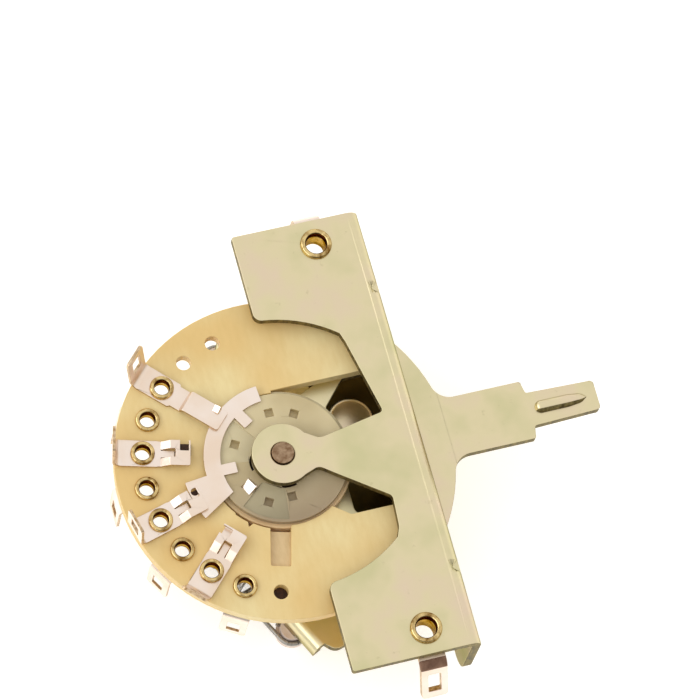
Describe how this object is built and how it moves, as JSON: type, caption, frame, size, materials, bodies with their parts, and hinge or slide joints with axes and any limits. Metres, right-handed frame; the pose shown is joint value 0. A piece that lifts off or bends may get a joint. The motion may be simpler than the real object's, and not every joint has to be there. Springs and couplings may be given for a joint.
{
  "type": "guitar pickup selector switch",
  "caption": "Open-frame blade switch: folded sheet frame, round contact wafer with solder lugs, and a flat lever that swings with a nylon rotor.",
  "frame": {"origin": "middle of the mounting plate's outer face, where the plate meets the back of the panel", "axes": "+X along the mounting plate, +Z out of the panel along the lever at rest, -Y towards the side that carries the contact wafer"},
  "size_m": [0.0601, 0.0197, 0.0576],
  "materials": {
    "zinc": "yellow passivated zinc plate, satin",
    "phenolic": "punched phenolic board, satin",
    "silver": "silver plated brass, satin",
    "brass": "rolled brass, bright",
    "nylon": "moulded translucent nylon, satin",
    "steel": "plain steel, satin",
    "rivet": "browned steel, worked end"
  },
  "bodies": {
    "frame": {"frame": "zinc", "stator_wafer": "phenolic", "front_common_terminal": "silver", "front_throw_terminal_1": "silver", "front_throw_terminal_2": "silver", "front_throw_terminal_3": "silver", "rear_throw_terminal_1": "silver", "rear_throw_terminal_2": "silver", "rear_throw_terminal_3": "silver", "rear_common_terminal": "silver", "terminal_eyelet_1": "brass", "terminal_eyelet_2": "brass", "terminal_eyelet_3": "brass", "terminal_eyelet_4": "brass", "terminal_eyelet_5": "brass", "terminal_eyelet_6": "brass", "terminal_eyelet_7": "brass", "terminal_eyelet_8": "brass", "frame_eyelet_upper": "brass", "frame_eyelet_lower": "brass", "ground_lug_upper": "silver", "ground_lug_lower": "silver", "detent_spring": "steel", "spring_bush_upper": "silver", "spring_bush_lower": "silver"},
    "lever": {"lever": "zinc", "rotor": "nylon", "front_rotor_blade": "silver", "rear_rotor_blade": "silver", "pivot_shaft": "rivet", "shaft_spacer": "steel", "detent_cam": "steel", "end_washer": "zinc"},
    "detent_roller": {"detent_roller": "steel"}
  },
  "joints": [
    {"name": "lever_swing", "type": "hinge", "parent": "frame", "child": "lever", "pos_m": [0, 0, -0.0162], "axis": [0, 1, 0], "range_deg": [-30, 30]},
    {"name": "roller_lift", "type": "slide", "parent": "frame", "child": "detent_roller", "axis": [0, 0, -1], "range_m": [-0.00035, 0], "stiffness_N_per_m": 3000, "springref_m": -0.001, "deforming": ["detent_spring"]}
  ]
}
